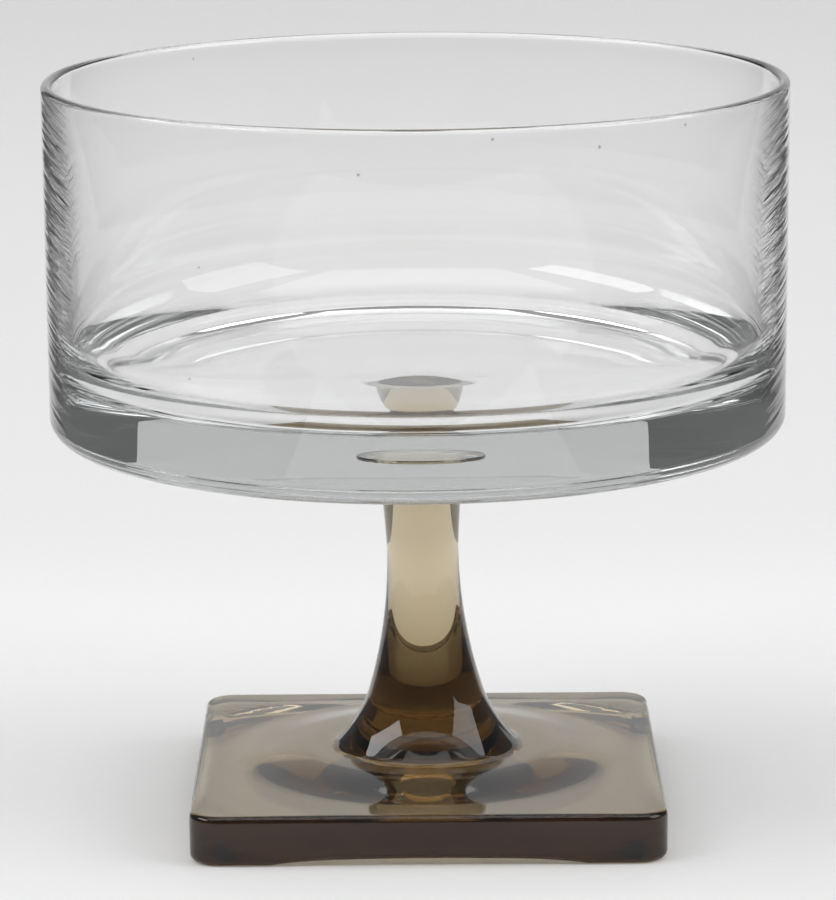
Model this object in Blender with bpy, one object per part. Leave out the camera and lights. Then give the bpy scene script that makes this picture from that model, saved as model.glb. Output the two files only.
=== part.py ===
# Sherbet dish: a clear, straight-sided bowl with a heavy base, joined hot to a smoked stem
# that spreads into a square foot. Metres, +Z up; the origin lies on the table, under the
# middle of the foot.
import math

import bmesh
import bpy

# Foot: a pressed square slab, hollowed underneath so that it stands on pads at its corners
FOOT_SIDE = 0.0569
FOOT_HEIGHT = 0.0061
FOOT_CORNER_RADIUS = 0.0035
FOOT_TOP_EDGE_RADIUS = 0.0008
FOOT_BOTTOM_EDGE_RADIUS = 0.0010
PAD_WIDTH = 0.0025
HOLLOW_DEPTH = 0.0008
HOLLOW_FLATNESS = 12

# Plateau: a low round step on the foot's top, with a soft shoulder, that carries the stem
SHOULDER_RADIUS = 0.0247
PLATEAU_RADIUS = 0.0140
PLATEAU_RISE = 0.0012

# Stem: heights are measured from the foot's top
STEM_HEIGHT = 0.0405
STEM_TOP_RADIUS = 0.0071
STEM_TOP_SPREAD = 0.0017
WAIST_RADIUS = 0.0044
WAIST_HEIGHT = 0.0257
WAIST_EASE = 0.0020
FLARE_RADIUS = 0.0590
FLARE_BASE_HEIGHT = 0.0079
FLARE_BASE_RADIUS = 0.0114
FLARE_BASE_ANGLE = math.radians(42)
FILLET_LEG = 0.0008

# Bowl: heights are measured from its underside
BOWL_RADIUS = 0.0450
BOWL_BASE_RADIUS = 0.0448
BOWL_HEIGHT = 0.0433
BOWL_BASE_THICKNESS = 0.0069
BASE_EDGE_WIDTH = 0.0034
BASE_EDGE_HEIGHT = 0.0028
FLOOR_FILLET = 0.0095
RIM_WALL = 0.0015
LOWER_WALL = 0.0024

# Clearance between the stem's top and the bowl's underside, where the glass is joined
JOINT_GAP = 0.0003

# Mesh steps
QUADRANT_SIDE_STEPS = 5
QUADRANT_CORNER_STEPS = 6
RING_STEPS = 4 * (2 * QUADRANT_SIDE_STEPS + QUADRANT_CORNER_STEPS)
EDGE_STEPS = 4
CURVE_STEPS = 8
SPREAD_STEPS = 8
SHARP_ANGLE = math.radians(40)


def oval_arc(centre_r, centre_z, half_width, half_height, start_degrees, end_degrees, steps):
    """Points (r, z) along an oval stretch of a profile, both ends included."""
    points = []
    for step in range(steps + 1):
        angle = math.radians(start_degrees + (end_degrees - start_degrees) * step / steps)
        points.append((centre_r + half_width * math.cos(angle), centre_z + half_height * math.sin(angle)))
    return points


def arc(centre_r, centre_z, radius, start_degrees, end_degrees, steps):
    """Points (r, z) along a round stretch of a profile, both ends included."""
    return oval_arc(centre_r, centre_z, radius, radius, start_degrees, end_degrees, steps)


def bezier(controls, steps):
    """Points along a curve with the given control points, both ends included."""
    points = []
    for step in range(steps + 1):
        share = step / steps
        row = list(controls)
        while len(row) > 1:
            row = [(ar + (br - ar) * share, az + (bz - az) * share)
                   for (ar, az), (br, bz) in zip(row, row[1:])]
        points.append(row[0])
    return points


def circle(radius):
    """Plan points of a round ring, spaced like those of a square one."""
    turn = 2 * math.pi / RING_STEPS
    return [(radius * math.cos(turn * i), radius * math.sin(turn * i)) for i in range(RING_STEPS)]


def rounded_square(half_side, corner_radius):
    """Plan points of a square ring with round corners, from the middle of the +X side."""
    flat = half_side - corner_radius
    quadrant = [(half_side, flat * i / QUADRANT_SIDE_STEPS) for i in range(QUADRANT_SIDE_STEPS)]
    quadrant += arc(flat, flat, corner_radius, 0, 90, QUADRANT_CORNER_STEPS)[:-1]
    quadrant += [(flat * (1 - i / QUADRANT_SIDE_STEPS), half_side) for i in range(QUADRANT_SIDE_STEPS)]
    points = []
    for _ in range(4):
        points += quadrant
        quadrant = [(-y, x) for x, y in quadrant]
    return points


def between(ring_a, ring_b, share):
    """Plan ring that lies a share of the way from one ring to another."""
    return [(ax + (bx - ax) * share, ay + (by - ay) * share) for (ax, ay), (bx, by) in zip(ring_a, ring_b)]


def level(ring, z):
    """Plan ring set at one height."""
    return [(x, y, z) for x, y in ring]


def draped(ring, height_at):
    """Plan ring laid on a surface of revolution."""
    return [(x, y, height_at(math.hypot(x, y))) for x, y in ring]


def closed_mesh(name, low_pole_z, rings, high_pole_z, material):
    """Object skinned over rings in order, closed by a point on the axis at each end."""
    mesh = bpy.data.meshes.new(name)
    skin = bmesh.new()
    loops = [[skin.verts.new(point) for point in ring] for ring in rings]
    low_pole = skin.verts.new((0, 0, low_pole_z))
    high_pole = skin.verts.new((0, 0, high_pole_z))
    for i in range(RING_STEPS):
        j = (i + 1) % RING_STEPS
        skin.faces.new((low_pole, loops[0][j], loops[0][i]))
        for lower, upper in zip(loops, loops[1:]):
            skin.faces.new((lower[i], lower[j], upper[j], upper[i]))
        skin.faces.new((high_pole, loops[-1][i], loops[-1][j]))
    bmesh.ops.triangulate(skin, faces=skin.faces[:])
    bmesh.ops.recalc_face_normals(skin, faces=skin.faces[:])
    skin.to_mesh(mesh)
    skin.free()
    mesh.shade_smooth()
    mesh.set_sharp_from_angle(angle=SHARP_ANGLE)
    mesh.materials.append(material)
    piece = bpy.data.objects.new(name, mesh)
    bpy.context.scene.collection.objects.link(piece)
    return piece


def glass(name, colour, roughness):
    """Glass of one tint."""
    material = bpy.data.materials.new(name)
    material.use_nodes = True
    shader = material.node_tree.nodes["Principled BSDF"]
    shader.inputs["Base Color"].default_value = colour
    shader.inputs["Metallic"].default_value = 0.0
    shader.inputs["Roughness"].default_value = roughness
    shader.inputs["IOR"].default_value = 1.52
    shader.inputs["Transmission Weight"].default_value = 0.9
    return material


def foot_top(radius):
    """Height of the foot's top at a distance from the axis."""
    climb = min(1.0, max(0.0, (SHOULDER_RADIUS - radius) / (SHOULDER_RADIUS - PLATEAU_RADIUS)))
    return FOOT_HEIGHT + PLATEAU_RISE * climb ** 2 * (3 - 2 * climb)


def hollow_height(radius):
    """Height of the foot's underside at a distance from the axis; the hollow ends at the pads."""
    pad_end = FOOT_SIDE / 2 - FOOT_BOTTOM_EDGE_RADIUS - PAD_WIDTH
    pad_corner = FOOT_CORNER_RADIUS - FOOT_BOTTOM_EDGE_RADIUS
    hollow_radius = math.hypot(pad_end, pad_end - pad_corner)
    return HOLLOW_DEPTH * max(0.0, 1 - (radius / hollow_radius) ** HOLLOW_FLATNESS)


def underside_rings():
    """Foot's underside, from near the axis out to the start of its lower edge."""
    pad_half = FOOT_SIDE / 2 - FOOT_BOTTOM_EDGE_RADIUS
    pad_corner = FOOT_CORNER_RADIUS - FOOT_BOTTOM_EDGE_RADIUS
    pad_outer = rounded_square(pad_half, pad_corner)
    pad_inner = rounded_square(pad_half - PAD_WIDTH, pad_corner)
    middle = circle(pad_half / SPREAD_STEPS)
    rings = [draped(between(middle, pad_inner, step / SPREAD_STEPS), hollow_height)
             for step in range(SPREAD_STEPS + 1)]
    return rings + [draped(pad_outer, hollow_height)]


def edge_rings():
    """Foot's lower edge, side and upper edge."""
    rings = []
    for step in range(1, EDGE_STEPS + 1):
        turn = math.radians(90 * step / EDGE_STEPS)
        inset = FOOT_BOTTOM_EDGE_RADIUS * (1 - math.sin(turn))
        lift = FOOT_BOTTOM_EDGE_RADIUS * (1 - math.cos(turn))
        ring = rounded_square(FOOT_SIDE / 2 - inset, FOOT_CORNER_RADIUS - inset)
        rings.append([(x, y, z + lift) for x, y, z in draped(ring, hollow_height)])
    for step in range(EDGE_STEPS + 1):
        turn = math.radians(90 * step / EDGE_STEPS)
        inset = FOOT_TOP_EDGE_RADIUS * (1 - math.cos(turn))
        drop = FOOT_TOP_EDGE_RADIUS * (1 - math.sin(turn))
        ring = rounded_square(FOOT_SIDE / 2 - inset, FOOT_CORNER_RADIUS - inset)
        rings.append([(x, y, z - drop) for x, y, z in draped(ring, foot_top)])
    return rings


def foot_top_rings():
    """Foot's top, from its edge in to the start of the stem's fillet."""
    edge = rounded_square(FOOT_SIDE / 2 - FOOT_TOP_EDGE_RADIUS, FOOT_CORNER_RADIUS - FOOT_TOP_EDGE_RADIUS)
    inner = circle(FLARE_BASE_RADIUS + FILLET_LEG)
    return [draped(between(edge, inner, step / SPREAD_STEPS), foot_top)
            for step in range(1, SPREAD_STEPS + 1)]


def stem_profile():
    """Stem's side (r, z) from the start of its fillet up to its top edge."""
    waist_z = FOOT_HEIGHT + WAIST_HEIGHT
    top_z = FOOT_HEIGHT + STEM_HEIGHT
    plateau_z = FOOT_HEIGHT + PLATEAU_RISE
    flare_angle = math.asin((WAIST_HEIGHT - FLARE_BASE_HEIGHT) / FLARE_RADIUS)
    flare = arc(WAIST_RADIUS + FLARE_RADIUS, waist_z, FLARE_RADIUS,
                180 + math.degrees(flare_angle), 180, CURVE_STEPS)
    lean_r = math.sin(FLARE_BASE_ANGLE)
    lean_z = math.cos(FLARE_BASE_ANGLE)
    fillet_top = (FLARE_BASE_RADIUS - FILLET_LEG * lean_r, plateau_z + FILLET_LEG * lean_z)
    fillet = bezier([(FLARE_BASE_RADIUS + FILLET_LEG, plateau_z), (FLARE_BASE_RADIUS, plateau_z), fillet_top],
                    EDGE_STEPS)
    across = fillet_top[0] - flare[0][0]
    down = flare[0][1] - fillet_top[1]
    reach = across * math.cos(flare_angle) - down * math.sin(flare_angle)
    reach /= math.sin(FLARE_BASE_ANGLE - flare_angle)
    meeting = (fillet_top[0] - reach * lean_r, fillet_top[1] + reach * lean_z)
    flare_base = bezier([fillet_top, meeting, flare[0]], CURVE_STEPS)
    neck = bezier([(WAIST_RADIUS, waist_z), (WAIST_RADIUS, waist_z + WAIST_EASE),
                   (STEM_TOP_RADIUS - STEM_TOP_SPREAD, top_z - STEM_TOP_SPREAD), (STEM_TOP_RADIUS, top_z)],
                  CURVE_STEPS)
    return fillet[1:] + flare_base[1:] + flare[1:] + neck[1:]


def make_stem_and_foot():
    """Smoked stem and square foot, pressed as one piece."""
    stem = [level(circle(r), z) for r, z in stem_profile()]
    rings = underside_rings() + edge_rings() + foot_top_rings() + stem
    smoke = glass("smoked glass", (0.36, 0.29, 0.20, 1.0), 0.04)
    return closed_mesh("stem_and_foot", hollow_height(0.0), rings, FOOT_HEIGHT + STEM_HEIGHT, smoke)


def bowl_profile():
    """Bowl's section (r, z) from its underside, over the rim and down to its floor."""
    base = oval_arc(BOWL_BASE_RADIUS - BASE_EDGE_WIDTH, BASE_EDGE_HEIGHT, BASE_EDGE_WIDTH, BASE_EDGE_HEIGHT,
                    -90, 0, CURVE_STEPS)
    rim = arc(BOWL_RADIUS - RIM_WALL / 2, BOWL_HEIGHT - RIM_WALL / 2, RIM_WALL / 2, 0, 180, CURVE_STEPS)
    inner_radius = BOWL_BASE_RADIUS - LOWER_WALL
    floor = arc(inner_radius - FLOOR_FILLET, BOWL_BASE_THICKNESS + FLOOR_FILLET, FLOOR_FILLET,
                0, -90, CURVE_STEPS)
    return base + rim + floor


def make_bowl():
    """Clear bowl, seated over the stem's top."""
    rings = [level(circle(r), z) for r, z in bowl_profile()]
    clear = glass("clear glass", (0.93, 0.95, 0.94, 1.0), 0.02)
    bowl = closed_mesh("bowl", 0.0, rings, BOWL_BASE_THICKNESS, clear)
    bowl.location.z = FOOT_HEIGHT + STEM_HEIGHT + JOINT_GAP
    return bowl


for old in list(bpy.data.objects):
    bpy.data.objects.remove(old, do_unlink=True)

dish = bpy.data.objects.new("sherbet_dish", None)
bpy.context.scene.collection.objects.link(dish)
make_stem_and_foot().parent = dish
make_bowl().parent = dish
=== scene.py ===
import math

import bmesh
import bpy
from mathutils import Matrix, Vector


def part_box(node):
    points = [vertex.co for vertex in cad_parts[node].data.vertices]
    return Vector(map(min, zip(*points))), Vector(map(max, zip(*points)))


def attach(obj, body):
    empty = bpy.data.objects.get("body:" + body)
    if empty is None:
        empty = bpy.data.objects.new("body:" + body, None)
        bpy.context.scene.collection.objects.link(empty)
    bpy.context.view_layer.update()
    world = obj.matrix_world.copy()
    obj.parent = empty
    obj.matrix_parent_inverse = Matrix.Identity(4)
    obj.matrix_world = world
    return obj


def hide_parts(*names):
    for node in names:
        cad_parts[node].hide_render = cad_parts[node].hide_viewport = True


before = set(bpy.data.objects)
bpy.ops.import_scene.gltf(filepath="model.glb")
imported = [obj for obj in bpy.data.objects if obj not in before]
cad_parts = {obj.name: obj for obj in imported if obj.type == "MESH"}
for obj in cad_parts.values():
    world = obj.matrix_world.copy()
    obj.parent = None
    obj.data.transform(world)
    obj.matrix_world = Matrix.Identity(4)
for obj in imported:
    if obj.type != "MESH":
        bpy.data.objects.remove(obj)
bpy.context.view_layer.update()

# Stem and foot: one pressing of smoked glass, brown-grey all through. The round stem narrows to
# a waist, flares down into a square foot and is hollowed underneath, so that the foot stands on
# its four corners. Pressed hot in a mould and fire-polished, with its top melted into the bowl.
FOOT_SIDE = 0.0569
FOOT_HEIGHT = 0.0061
FOOT_CORNER_RADIUS = 0.0035
FOOT_TOP_EDGE_RADIUS = 0.0008
FOOT_BOTTOM_EDGE_RADIUS = 0.0010
PAD_WIDTH = 0.0025
HOLLOW_DEPTH = 0.0008
HOLLOW_FLATNESS = 12
FOOT_LEAN = 0.00092
JOINT_LEAN = 0.00023
SHOULDER_RADIUS = 0.0247
PLATEAU_RADIUS = 0.0140
PLATEAU_RISE = 0.0012
FLARE_BASE_RADIUS = 0.0114
FLARE_BASE_ANGLE = 42.0
FILLET_LEG = 0.0008
STEM_TOP_RADIUS = 0.0071
NECK_RADIUS = 0.0054
NECK_EASE = 0.0035
NECK_LEAN = 0.0003
FLANGE_HEIGHT = 0.0007
WAIST_RADIUS = 0.0044
WAIST_HEIGHT = 0.0257
WAIST_EASE = 0.0020
FLARE_RADIUS = 0.0590
FLARE_BASE_HEIGHT = 0.0079
JOINT_GAP = 0.0001
WELD_RADIUS = 0.0051
WELD_OVERLAP = 0.0002
SIDE_STEPS = 20
CORNER_STEPS = 12
RING_STEPS = 4 * (2 * SIDE_STEPS + CORNER_STEPS)
EDGE_STEPS = 8
CURVE_STEPS = 40
SPREAD_STEPS = 24
CREASE_ANGLE = 40.0
joint_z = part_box("bowl")[0][2]


def arc(centre_r, centre_z, radius, start_degrees, end_degrees, steps):
    points = []
    for step in range(steps + 1):
        angle = math.radians(start_degrees + (end_degrees - start_degrees) * step / steps)
        points.append((centre_r + radius * math.cos(angle), centre_z + radius * math.sin(angle)))
    return points


def bezier(controls, steps):
    points = []
    for step in range(steps + 1):
        share = step / steps
        row = list(controls)
        while len(row) > 1:
            row = [(ar + (br - ar) * share, az + (bz - az) * share)
                   for (ar, az), (br, bz) in zip(row, row[1:])]
        points.append(row[0])
    return points


def circle(radius):
    turn = 2 * math.pi / RING_STEPS
    return [(radius * math.cos(turn * i), radius * math.sin(turn * i)) for i in range(RING_STEPS)]


def rounded_square(half_side, corner_radius):
    flat = half_side - corner_radius
    quadrant = [(half_side, flat * i / SIDE_STEPS) for i in range(SIDE_STEPS)]
    quadrant += arc(flat, flat, corner_radius, 0, 90, CORNER_STEPS)[:-1]
    quadrant += [(flat * (1 - i / SIDE_STEPS), half_side) for i in range(SIDE_STEPS)]
    points = []
    for _ in range(4):
        points += quadrant
        quadrant = [(-y, x) for x, y in quadrant]
    return points


def between(ring_a, ring_b, share):
    return [(ax + (bx - ax) * share, ay + (by - ay) * share)
            for (ax, ay), (bx, by) in zip(ring_a, ring_b)]


def draped(ring, height_at):
    return [(x, y, height_at(math.hypot(x, y))) for x, y in ring]


def blown(name, low_pole_z, rings, high_pole_z, material):
    mesh = bpy.data.meshes.new(name)
    skin = bmesh.new()
    loops = [[skin.verts.new(point) for point in ring] for ring in rings]
    low_pole = skin.verts.new((0, 0, low_pole_z))
    high_pole = skin.verts.new((0, 0, high_pole_z))
    for i in range(RING_STEPS):
        j = (i + 1) % RING_STEPS
        skin.faces.new((low_pole, loops[0][j], loops[0][i]))
        for lower, upper in zip(loops, loops[1:]):
            skin.faces.new((lower[i], lower[j], upper[j], upper[i]))
        skin.faces.new((high_pole, loops[-1][i], loops[-1][j]))
    bmesh.ops.recalc_face_normals(skin, faces=skin.faces[:])
    skin.to_mesh(mesh)
    skin.free()
    mesh.shade_smooth()
    mesh.set_sharp_from_angle(angle=math.radians(CREASE_ANGLE))
    mesh.materials.append(material)
    piece = bpy.data.objects.new(name, mesh)
    bpy.context.scene.collection.objects.link(piece)
    return piece


def foot_top(radius):
    climb = min(1.0, max(0.0, (SHOULDER_RADIUS - radius) / (SHOULDER_RADIUS - PLATEAU_RADIUS)))
    return FOOT_HEIGHT + PLATEAU_RISE * climb ** 2 * (3 - 2 * climb)


pad_half = FOOT_SIDE / 2 - FOOT_BOTTOM_EDGE_RADIUS
pad_corner = FOOT_CORNER_RADIUS - FOOT_BOTTOM_EDGE_RADIUS
hollow_radius = math.hypot(pad_half - PAD_WIDTH, pad_half - PAD_WIDTH - pad_corner)


def hollow_height(radius):
    return HOLLOW_DEPTH * max(0.0, 1 - (radius / hollow_radius) ** HOLLOW_FLATNESS)


foot_rings = []
hollow_middle = circle(pad_half / SPREAD_STEPS)
pad_outer = rounded_square(pad_half, pad_corner)
for step in range(SPREAD_STEPS + 1):
    foot_rings.append(draped(between(hollow_middle, pad_outer, step / SPREAD_STEPS), hollow_height))
for step in range(1, EDGE_STEPS + 1):
    turn = math.radians(90 * step / EDGE_STEPS)
    inset = FOOT_BOTTOM_EDGE_RADIUS * (1 - math.sin(turn))
    lift = FOOT_BOTTOM_EDGE_RADIUS * (1 - math.cos(turn))
    ring = rounded_square(FOOT_SIDE / 2 - inset, FOOT_CORNER_RADIUS - inset)
    foot_rings.append([(x, y, z + lift) for x, y, z in draped(ring, hollow_height)])
for step in range(EDGE_STEPS + 1):
    turn = math.radians(90 * step / EDGE_STEPS)
    inset = FOOT_TOP_EDGE_RADIUS * (1 - math.cos(turn))
    drop = FOOT_TOP_EDGE_RADIUS * (1 - math.sin(turn))
    ring = rounded_square(FOOT_SIDE / 2 - inset, FOOT_CORNER_RADIUS - inset)
    foot_rings.append([(x, y, z - drop) for x, y, z in draped(ring, foot_top)])
top_edge = rounded_square(FOOT_SIDE / 2 - FOOT_TOP_EDGE_RADIUS,
                          FOOT_CORNER_RADIUS - FOOT_TOP_EDGE_RADIUS)
fillet_foot = circle(FLARE_BASE_RADIUS + FILLET_LEG)
for step in range(1, SPREAD_STEPS + 1):
    foot_rings.append(draped(between(top_edge, fillet_foot, step / SPREAD_STEPS), foot_top))

waist_z = FOOT_HEIGHT + WAIST_HEIGHT
stem_top_z = joint_z - JOINT_GAP
weld_z = joint_z + WELD_OVERLAP
plateau_z = FOOT_HEIGHT + PLATEAU_RISE
flare_angle = math.asin((WAIST_HEIGHT - FLARE_BASE_HEIGHT) / FLARE_RADIUS)
flare = arc(WAIST_RADIUS + FLARE_RADIUS, waist_z, FLARE_RADIUS,
            180 + math.degrees(flare_angle), 180, CURVE_STEPS)
base_sine = math.sin(math.radians(FLARE_BASE_ANGLE))
base_cosine = math.cos(math.radians(FLARE_BASE_ANGLE))
fillet_top = (FLARE_BASE_RADIUS - FILLET_LEG * base_sine, plateau_z + FILLET_LEG * base_cosine)
fillet = bezier([(FLARE_BASE_RADIUS + FILLET_LEG, plateau_z), (FLARE_BASE_RADIUS, plateau_z), fillet_top],
                EDGE_STEPS)
across = fillet_top[0] - flare[0][0]
down = flare[0][1] - fillet_top[1]
reach = across * math.cos(flare_angle) - down * math.sin(flare_angle)
reach /= math.sin(math.radians(FLARE_BASE_ANGLE) - flare_angle)
meeting = (fillet_top[0] - reach * base_sine, fillet_top[1] + reach * base_cosine)
flare_base = bezier([fillet_top, meeting, flare[0]], CURVE_STEPS)
neck_z = stem_top_z - FLANGE_HEIGHT
neck = bezier([(WAIST_RADIUS, waist_z), (WAIST_RADIUS, waist_z + WAIST_EASE),
               (NECK_RADIUS - NECK_LEAN, neck_z - NECK_EASE), (NECK_RADIUS, neck_z)], CURVE_STEPS)
flange = bezier([(NECK_RADIUS, neck_z), (NECK_RADIUS, stem_top_z), (STEM_TOP_RADIUS, stem_top_z)],
                EDGE_STEPS)
weld = [(WELD_RADIUS + JOINT_GAP, stem_top_z), (WELD_RADIUS, weld_z)]
stem_line = fillet[1:] + flare_base[1:] + flare[1:] + neck[1:] + flange[1:] + weld
stem_rings = [[(x, y, z) for x, y in circle(r)] for r, z in stem_line]

GLASS_IOR = 1.52
SMOKE_DENSITY = 124.0
SMOKE_COLOUR = (0.52, 0.36, 0.0, 1.0)
FOOT_WAVE_SIZE = 0.006
FOOT_WAVE_HEIGHT = 0.000004
FOOT_SPECK_SPACING = 0.0045
SPECK_RADIUS = 0.00012
SPECK_COLOUR = (0.30, 0.29, 0.27, 1.0)
GLASS_COLOUR = (1.0, 1.0, 1.0, 1.0)


def glass(name, colour, density):
    material = bpy.data.materials.new(name)
    material.use_nodes = True
    nodes = material.node_tree.nodes
    shader = nodes["Principled BSDF"]
    shader.inputs["Roughness"].default_value = 0.0
    shader.inputs["IOR"].default_value = GLASS_IOR
    shader.inputs["Transmission Weight"].default_value = 1.0
    absorb = nodes.new("ShaderNodeVolumeAbsorption")
    absorb.inputs["Color"].default_value = colour
    absorb.inputs["Density"].default_value = density
    material.node_tree.links.new(absorb.outputs["Volume"], nodes["Material Output"].inputs["Volume"])
    return material


def fire_polished(material, wave_size, wave_height, speck_spacing):
    nodes = material.node_tree.nodes
    links = material.node_tree.links
    place = nodes.new("ShaderNodeTexCoord")
    waves = nodes.new("ShaderNodeTexNoise")
    waves.inputs["Scale"].default_value = 1 / wave_size
    links.new(place.outputs["Object"], waves.inputs["Vector"])
    skin = nodes.new("ShaderNodeBump")
    skin.inputs["Distance"].default_value = wave_height
    links.new(waves.outputs["Fac"], skin.inputs["Height"])
    links.new(skin.outputs["Normal"], nodes["Principled BSDF"].inputs["Normal"])
    dust = nodes.new("ShaderNodeTexVoronoi")
    dust.inputs["Scale"].default_value = 1 / speck_spacing
    links.new(place.outputs["Object"], dust.inputs["Vector"])
    tint = nodes.new("ShaderNodeValToRGB")
    tint.color_ramp.elements[0].position = SPECK_RADIUS / speck_spacing
    tint.color_ramp.elements[0].color = SPECK_COLOUR
    tint.color_ramp.elements[1].position = 2 * SPECK_RADIUS / speck_spacing
    tint.color_ramp.elements[1].color = GLASS_COLOUR
    links.new(dust.outputs["Distance"], tint.inputs["Fac"])
    links.new(tint.outputs["Color"], nodes["Principled BSDF"].inputs["Base Color"])
    return skin


smoke = glass("smoked_glass", SMOKE_COLOUR, SMOKE_DENSITY)
fire_polished(smoke, FOOT_WAVE_SIZE, FOOT_WAVE_HEIGHT, FOOT_SPECK_SPACING)

stem = blown("smoked_stem_and_foot", hollow_height(0.0), foot_rings + stem_rings, weld_z, smoke)
for point in stem.data.vertices:
    rise = max(0.0, point.co.z - FOOT_HEIGHT) / (joint_z - FOOT_HEIGHT)
    point.co.x += FOOT_LEAN + (JOINT_LEAN - FOOT_LEAN) * rise
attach(stem, "root")
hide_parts("stem_and_foot")

# Bowl: clear glass with a straight round wall and a heavy solid base. Blown in a mould that left
# fine chill marks outside, at its left and right. The rim is cut and fire-polished round, and the
# base is joined hot to the top of the stem.
BOWL_RADIUS = 0.0450
BOWL_BASE_RADIUS = 0.0448
BOWL_HEIGHT = 0.0433
BASE_EDGE_WIDTH = 0.0034
BASE_EDGE_HEIGHT = 0.0028
FLOOR_THICKNESS = 0.0069
FLOOR_EDGE_WIDTH = 0.0110
FLOOR_EDGE_HEIGHT = 0.0085
FLOOR_EDGE_SQUARENESS = 2.8
RIM_WALL = 0.0013
UPPER_WALL = 0.0011
MIDDLE_WALL = 0.0024
LOWER_WALL = 0.0024
UPPER_WALL_DROP = 0.2
MIDDLE_WALL_RISE = 0.4
WALL_STEPS = 60
CLEAR_DENSITY = 9.0
CLEAR_COLOUR = (0.35, 0.38, 0.38, 1.0)
BOWL_WAVE_SIZE = 0.009
BOWL_WAVE_HEIGHT = 0.000005
BOWL_SPECK_SPACING = 0.008
CHILL_MARK_HEIGHT = 0.00018
CHILL_MARK_STRETCH = (40.0, 40.0, 1400.0)
CHILL_MARK_LEAN = 0.55
CHILL_MARK_FRONT = (-0.022, -0.007)
CHILL_MARK_BACK = (0.012, -0.003)

base_arc = []
for step in range(CURVE_STEPS + 1):
    turn = math.radians(90 * step / CURVE_STEPS)
    base_arc.append((BOWL_BASE_RADIUS - BASE_EDGE_WIDTH * (1 - math.sin(turn)),
                     BASE_EDGE_HEIGHT * (1 - math.cos(turn))))
rim_arc = arc(BOWL_RADIUS - RIM_WALL / 2, BOWL_HEIGHT - RIM_WALL / 2, RIM_WALL / 2,
              0, 180, 2 * EDGE_STEPS)
floor_arc = []
for step in range(2 * CURVE_STEPS + 1):
    turn = math.radians(45 * step / CURVE_STEPS)
    inset = FLOOR_EDGE_WIDTH * (1 - max(0.0, math.cos(turn)) ** (2 / FLOOR_EDGE_SQUARENESS))
    lift = FLOOR_EDGE_HEIGHT * (1 - math.sin(turn) ** (2 / FLOOR_EDGE_SQUARENESS))
    floor_arc.append((BOWL_BASE_RADIUS - LOWER_WALL - inset, FLOOR_THICKNESS + lift))
wall_drop = rim_arc[-1][1] - floor_arc[0][1]
inner_wall = bezier([rim_arc[-1],
                     (BOWL_RADIUS - UPPER_WALL, rim_arc[-1][1] - wall_drop * UPPER_WALL_DROP),
                     (BOWL_RADIUS - MIDDLE_WALL, floor_arc[0][1] + wall_drop * MIDDLE_WALL_RISE),
                     floor_arc[0]], WALL_STEPS)
outer_wall = bezier([base_arc[-1], rim_arc[0]], WALL_STEPS)
bowl_profile = base_arc + outer_wall[1:-1] + rim_arc + inner_wall[1:-1] + floor_arc
bowl_rings = [[(x, y, joint_z + z) for x, y in circle(r)] for r, z in bowl_profile]

clear = glass("clear_glass", CLEAR_COLOUR, CLEAR_DENSITY)
nodes = clear.node_tree.nodes
links = clear.node_tree.links
skin = fire_polished(clear, BOWL_WAVE_SIZE, BOWL_WAVE_HEIGHT, BOWL_SPECK_SPACING)
place = nodes.new("ShaderNodeTexCoord")
split = nodes.new("ShaderNodeSeparateXYZ")
links.new(place.outputs["Object"], split.inputs["Vector"])


def worked(operation, first, second):
    node = nodes.new("ShaderNodeMath")
    node.operation = operation
    for socket, value in zip(node.inputs, (first, second)):
        if isinstance(value, float):
            socket.default_value = value
        else:
            links.new(value, socket)
    return node.outputs["Value"]


def fade(value, ends):
    node = nodes.new("ShaderNodeMapRange")
    node.interpolation_type = "SMOOTHSTEP"
    links.new(value, node.inputs["Value"])
    node.inputs["From Min"].default_value = ends[0]
    node.inputs["From Max"].default_value = ends[1]
    return node.outputs["Result"]


side = worked("ABSOLUTE", split.outputs["X"], 0.0)
lean = worked("SUBTRACT", split.outputs["Z"], worked("MULTIPLY", side, CHILL_MARK_LEAN))
along = nodes.new("ShaderNodeCombineXYZ")
links.new(side, along.inputs["X"])
links.new(split.outputs["Y"], along.inputs["Y"])
links.new(lean, along.inputs["Z"])
stretch = nodes.new("ShaderNodeVectorMath")
stretch.operation = "MULTIPLY"
stretch.inputs[1].default_value = CHILL_MARK_STRETCH
links.new(along.outputs["Vector"], stretch.inputs[0])
marks = nodes.new("ShaderNodeTexNoise")
marks.inputs["Scale"].default_value = 1.0
links.new(stretch.outputs["Vector"], marks.inputs["Vector"])
across_square = worked("MULTIPLY", split.outputs["X"], split.outputs["X"])
back_square = worked("MULTIPLY", split.outputs["Y"], split.outputs["Y"])
outside = worked("GREATER_THAN", worked("ADD", across_square, back_square), (BOWL_RADIUS - UPPER_WALL) ** 2)
front_fade = fade(split.outputs["Y"], CHILL_MARK_FRONT)
back_fade = fade(split.outputs["Y"], CHILL_MARK_BACK)
chilled = worked("MULTIPLY", worked("MULTIPLY", front_fade, back_fade), outside)
depth = worked("MULTIPLY", chilled, marks.outputs["Fac"])
chill = nodes.new("ShaderNodeBump")
chill.inputs["Distance"].default_value = CHILL_MARK_HEIGHT
links.new(depth, chill.inputs["Height"])
links.new(skin.outputs["Normal"], chill.inputs["Normal"])
links.new(chill.outputs["Normal"], nodes["Principled BSDF"].inputs["Normal"])

bowl = blown("clear_bowl", joint_z, bowl_rings, joint_z + FLOOR_THICKNESS, clear)
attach(bowl, "root")
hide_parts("bowl")

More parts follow.
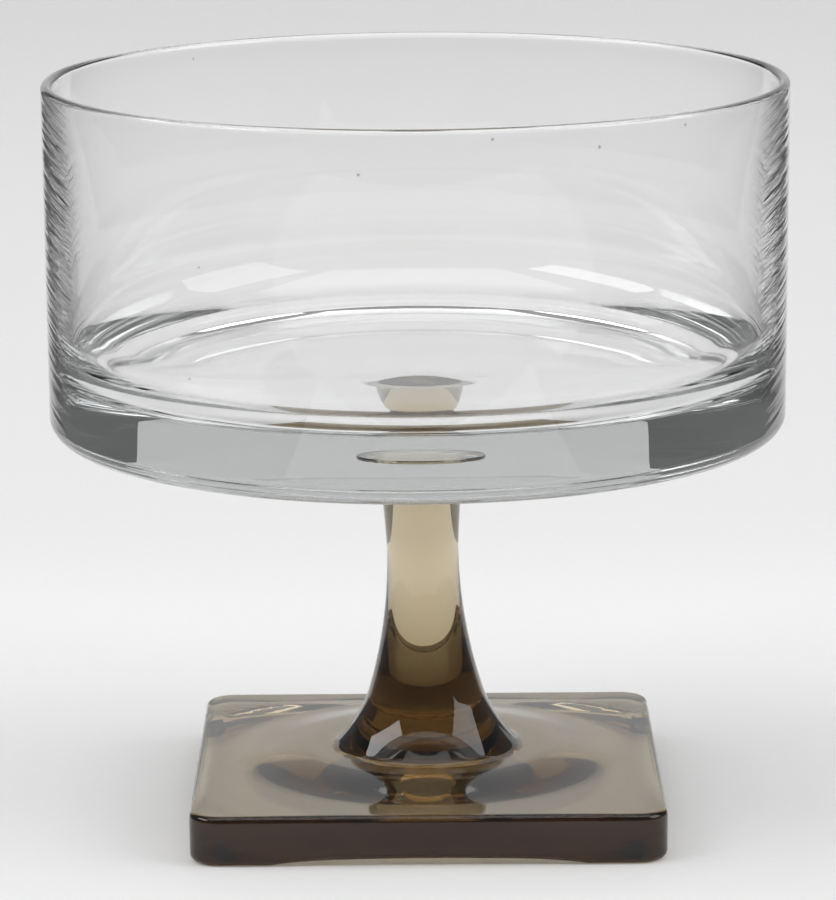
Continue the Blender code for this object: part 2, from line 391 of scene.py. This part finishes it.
# Table and backdrop: a sheet of pale paper that lies on a grey bench and sweeps up behind the
# dish. The sheet has a front only, so the dish can also be looked at from behind.
SWEEP_LEFT = -0.160
SWEEP_RIGHT = 0.19
LEFT_SPREAD = 0.10
RIGHT_SPREAD = 0.20
SPREAD_START = 0.035
SPREAD_RISE = 0.07
SWEEP_FRONT = -0.30
SWEEP_BACK = 0.60
SWEEP_BEND = 0.30
SWEEP_HEIGHT = 0.70
SWEEP_STEPS = 24
MATT = 0.9
# Painted shade and light on the paper: its colour is painted lighter near the dish, darker along the bend,
# and lighter again up the back.
PAPER_PAINTED_SHADE_AND_LIGHT = ((0.06, 0.97), (0.16, 0.88), (0.31, 0.855), (0.40, 0.80),
                (0.46, 0.72), (0.50, 0.74), (0.56, 0.95), (0.60, 0.95))
PAPER_FIBRES = 900.0
PAPER_GRAIN = (0.97, 0.97, 0.97, 1.0)
BENCH_DARK = (0.20, 0.20, 0.20, 1.0)
BENCH_LIGHT = (0.30, 0.30, 0.30, 1.0)
BENCH_GRAIN = 30.0
BENCH_DROP = 0.0005
BENCH_HALF = 2.0
sweep_line = [(SWEEP_FRONT, 0.0), (0.0, 0.0)]
sweep_line += arc(SWEEP_BACK - SWEEP_BEND, SWEEP_BEND, SWEEP_BEND, -90, 0, SWEEP_STEPS)
sweep_line.append((SWEEP_BACK, SWEEP_HEIGHT))
sweep_mesh = bpy.data.meshes.new("paper_sweep")
sweep_points = []
for y, z in sweep_line:
    spread = min(1.0, max(0.0, z - SPREAD_START) / SPREAD_RISE)
    sweep_points += [(SWEEP_LEFT - LEFT_SPREAD * spread, y, z), (SWEEP_RIGHT + RIGHT_SPREAD * spread, y, z)]
sweep_faces = [(2 * i, 2 * i + 1, 2 * i + 3, 2 * i + 2) for i in range(len(sweep_line) - 1)]
sweep_mesh.from_pydata(sweep_points, [], sweep_faces)
sweep_mesh.shade_smooth()
paper = bpy.data.materials.new("pale_paper")
paper.use_nodes = True
paper_shader = paper.node_tree.nodes["Principled BSDF"]
nodes = paper.node_tree.nodes
links = paper.node_tree.links
place = nodes.new("ShaderNodeNewGeometry")
split = nodes.new("ShaderNodeSeparateXYZ")
# The painted shade and light: a ramp of the paper's colour by depth, darker along the bend and lighter near
# the dish and up the back.
shade = nodes.new("ShaderNodeValToRGB")
shade.color_ramp.elements.remove(shade.color_ramp.elements[1])
near_depth, near_tone = PAPER_PAINTED_SHADE_AND_LIGHT[0]
shade.color_ramp.elements[0].position = near_depth
shade.color_ramp.elements[0].color = (near_tone, near_tone, near_tone, 1.0)
for depth, tone in PAPER_PAINTED_SHADE_AND_LIGHT[1:]:
    stop = shade.color_ramp.elements.new(depth)
    stop.color = (tone, tone, tone, 1.0)
links.new(place.outputs["Position"], split.inputs["Vector"])
links.new(split.outputs["Y"], shade.inputs["Fac"])
fibres = nodes.new("ShaderNodeTexNoise")
fibres.inputs["Scale"].default_value = PAPER_FIBRES
links.new(place.outputs["Position"], fibres.inputs["Vector"])
grain = nodes.new("ShaderNodeValToRGB")
grain.color_ramp.elements[0].color = PAPER_GRAIN
links.new(fibres.outputs["Fac"], grain.inputs["Fac"])
blend = nodes.new("ShaderNodeVectorMath")
blend.operation = "MULTIPLY"
links.new(shade.outputs["Color"], blend.inputs[0])
links.new(grain.outputs["Color"], blend.inputs[1])
links.new(blend.outputs["Vector"], paper_shader.inputs["Base Color"])
unseen = nodes.new("ShaderNodeBsdfTransparent")
one_sided = nodes.new("ShaderNodeMixShader")
links.new(place.outputs["Backfacing"], one_sided.inputs["Fac"])
links.new(paper_shader.outputs["BSDF"], one_sided.inputs[1])
links.new(unseen.outputs["BSDF"], one_sided.inputs[2])
links.new(one_sided.outputs["Shader"], nodes["Material Output"].inputs["Surface"])
paper_shader.inputs["Roughness"].default_value = MATT
paper_shader.inputs["Specular IOR Level"].default_value = 0.0
sweep_mesh.materials.append(paper)
sweep = bpy.data.objects.new("paper_sweep", sweep_mesh)
bpy.context.scene.collection.objects.link(sweep)
bench_mesh = bpy.data.meshes.new("bench")
bench_corners = ((-1, -1), (1, -1), (1, 1), (-1, 1))
bench_mesh.from_pydata([(x * BENCH_HALF, y * BENCH_HALF, -BENCH_DROP) for x, y in bench_corners],
                       [], [(0, 1, 2, 3)])
bench_paint = bpy.data.materials.new("grey_bench")
bench_paint.use_nodes = True
bench_shader = bench_paint.node_tree.nodes["Principled BSDF"]
worn = bench_paint.node_tree.nodes.new("ShaderNodeTexNoise")
worn.inputs["Scale"].default_value = BENCH_GRAIN
wear = bench_paint.node_tree.nodes.new("ShaderNodeValToRGB")
wear.color_ramp.elements[0].color = BENCH_DARK
wear.color_ramp.elements[1].color = BENCH_LIGHT
bench_paint.node_tree.links.new(worn.outputs["Fac"], wear.inputs["Fac"])
bench_paint.node_tree.links.new(wear.outputs["Color"], bench_shader.inputs["Base Color"])
bench_shader.inputs["Roughness"].default_value = MATT
bench_shader.inputs["Specular IOR Level"].default_value = 0.0
bench_mesh.materials.append(bench_paint)
bench = bpy.data.objects.new("bench", bench_mesh)
bpy.context.scene.collection.objects.link(bench)

# Studio light: three softboxes, to the left and right of the dish and above it, in a dim room.
# Each is turned towards the dish.
LEFT_DIRECTION = (-0.75, -0.15, 0.70)
LEFT_SIZE = (1.15, 0.45)
LEFT_POWER = 7.7
RIGHT_DIRECTION = (0.80, -0.20, 0.57)
RIGHT_SIZE = (1.00, 1.00)
RIGHT_POWER = 8.2
SIDE_DISTANCE = 1.5
ABOVE_DIRECTION = (0.0, -0.1, 1.0)
ABOVE_SIZE = (1.60, 1.60)
ABOVE_POWER = 13.4
ABOVE_DISTANCE = 1.7
ROOM_SHADE = (0.17, 0.17, 0.17, 1.0)


def softbox(name, direction, distance, size, power):
    lamp = bpy.data.lights.new(name, "AREA")
    lamp.shape = "RECTANGLE"
    lamp.size, lamp.size_y = size
    lamp.energy = power
    holder = bpy.data.objects.new(name, lamp)
    holder.location = Vector(direction).normalized() * distance
    holder.rotation_euler = Vector(direction).to_track_quat("Z", "Y").to_euler()
    bpy.context.scene.collection.objects.link(holder)


softbox("softbox_left", LEFT_DIRECTION, SIDE_DISTANCE, LEFT_SIZE, LEFT_POWER)
softbox("softbox_right", RIGHT_DIRECTION, SIDE_DISTANCE, RIGHT_SIZE, RIGHT_POWER)
softbox("softbox_above", ABOVE_DIRECTION, ABOVE_DISTANCE, ABOVE_SIZE, ABOVE_POWER)
world = bpy.data.worlds.new("dim_room")
world.use_nodes = True
world.node_tree.nodes["Background"].inputs["Color"].default_value = ROOM_SHADE
world.node_tree.nodes["Background"].inputs["Strength"].default_value = 1.0
bpy.context.scene.world = world

# Camera: a hand's height above the bowl's rim, half a metre away, looking a little down on the
# dish through a long lens. Light may pass through many walls of glass before it is lost.
CAMERA_PLACE = (0.0, -0.5633, 0.1647)
CAMERA_PITCH = 12.063
CAMERA_ROLL = -0.437
FOCAL_PIXELS = 4709.3
IMAGE_HEIGHT = 900
SENSOR_HEIGHT = 36.0
NEAREST = 0.01
GLASS_BOUNCES = 24
MIRROR_BOUNCES = 16
camera = bpy.data.cameras.new("camera")
camera.sensor_fit = "VERTICAL"
camera.sensor_height = SENSOR_HEIGHT
camera.lens = FOCAL_PIXELS / IMAGE_HEIGHT * SENSOR_HEIGHT
camera.clip_start = NEAREST
viewer = bpy.data.objects.new("camera", camera)
viewer.matrix_world = (Matrix.Translation(CAMERA_PLACE)
                       @ Matrix.Rotation(math.radians(90 - CAMERA_PITCH), 4, "X")
                       @ Matrix.Rotation(math.radians(CAMERA_ROLL), 4, "Z"))
bpy.context.scene.collection.objects.link(viewer)
bpy.context.scene.camera = viewer
bpy.context.scene.view_settings.view_transform = "Standard"
bpy.context.scene.cycles.max_bounces = GLASS_BOUNCES
bpy.context.scene.cycles.glossy_bounces = MIRROR_BOUNCES
bpy.context.scene.cycles.transmission_bounces = GLASS_BOUNCES
